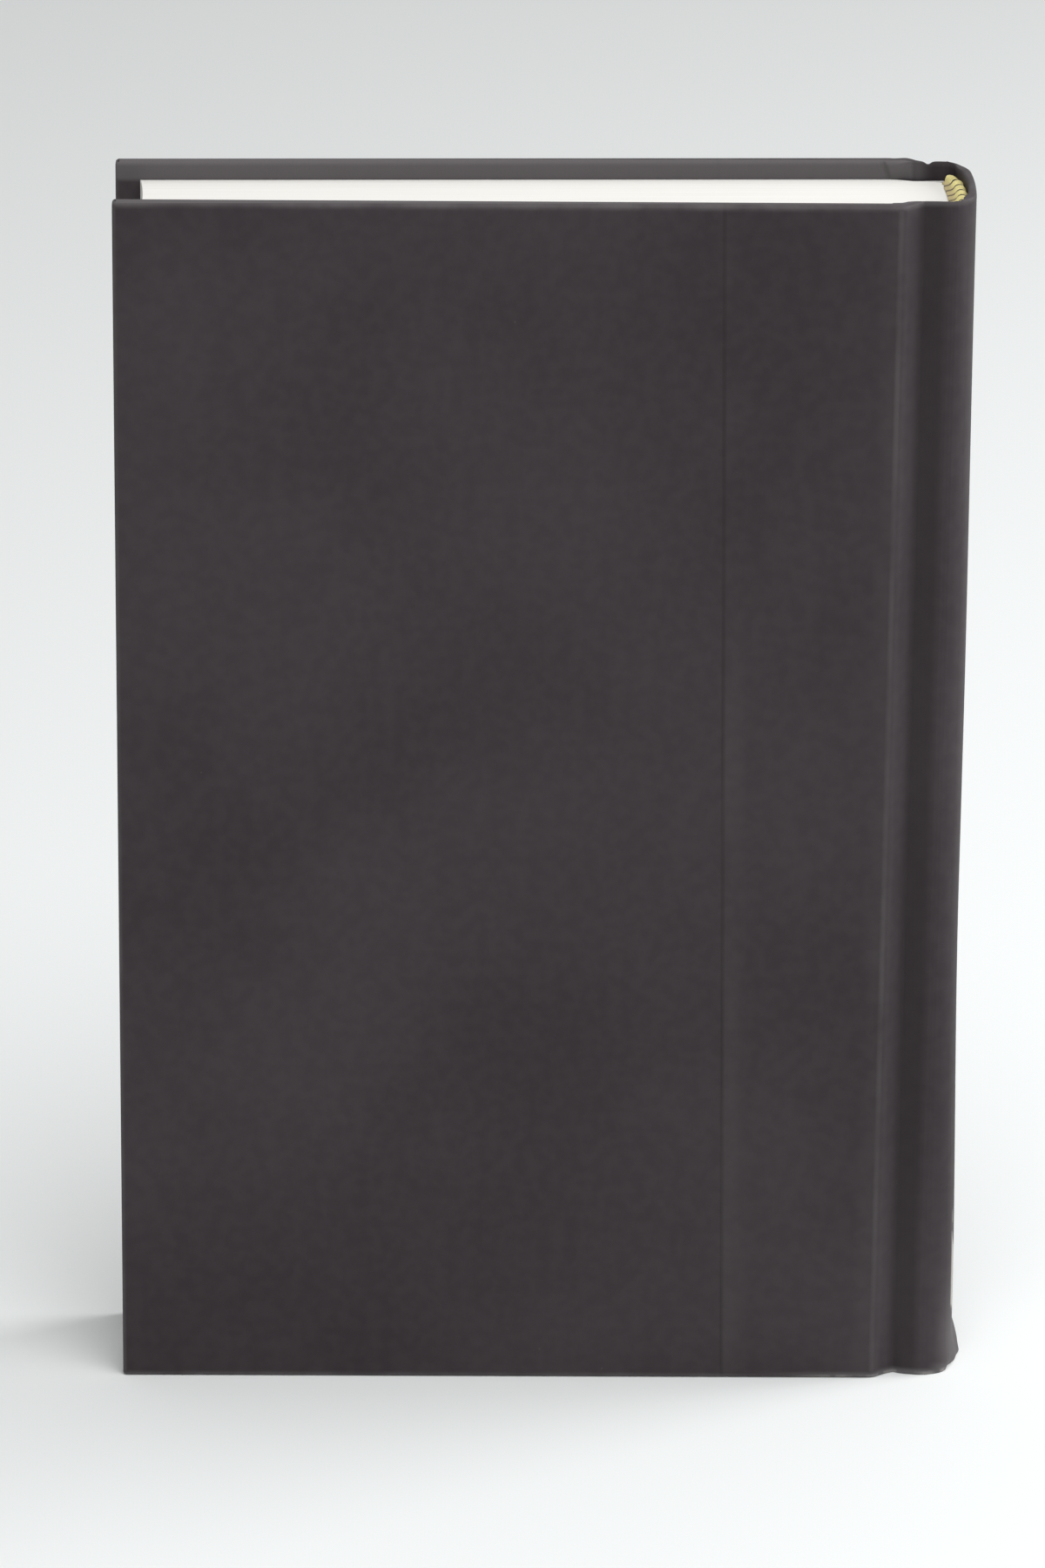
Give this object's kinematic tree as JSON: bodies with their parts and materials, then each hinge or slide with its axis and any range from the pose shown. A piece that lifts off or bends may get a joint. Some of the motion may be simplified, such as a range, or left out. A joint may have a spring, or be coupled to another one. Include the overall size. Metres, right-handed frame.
{
  "type": "hardback book",
  "caption": "Closed hardback book with plain dark paper-covered boards, french-groove joints, a hollow back and striped endbands. Both covers open.",
  "frame": {"origin": "under the middle of the closed book, on the surface that it stands on", "axes": "+X towards the spine, -Y out of the back cover, +Z from the tail to the head"},
  "size_m": [0.1502, 0.03, 0.2223],
  "materials": {
    "cover_paper": "matte",
    "board": "matte",
    "pages": "matte",
    "endpaper": "matte",
    "gauze": "matte",
    "kraft_lining": "matte",
    "endband": "satin"
  },
  "bodies": {
    "pages": {"text_block": "pages", "mull": "gauze", "spine_lining": "kraft_lining", "headband": "endband", "tailband": "endband", "back_flyleaf": "endpaper", "front_flyleaf": "endpaper", "spine_inlay": "board", "spine_cover_paper": "cover_paper"},
    "back_cover": {"back_board": "board", "back_cover_paper": "cover_paper", "back_pastedown": "endpaper", "back_mull_flap": "gauze"},
    "front_cover": {"front_board": "board", "front_cover_paper": "cover_paper", "front_pastedown": "endpaper", "front_mull_flap": "gauze"}
  },
  "joints": [
    {"name": "back_cover_hinge", "type": "hinge", "parent": "pages", "child": "back_cover", "pos_m": [0.07005, -0.0118, 0], "axis": [0, 0, 1], "range_deg": [0, 180]},
    {"name": "front_cover_hinge", "type": "hinge", "parent": "pages", "child": "front_cover", "pos_m": [0.07005, 0.0118, 0], "axis": [0, 0, -1], "range_deg": [0, 180]}
  ]
}
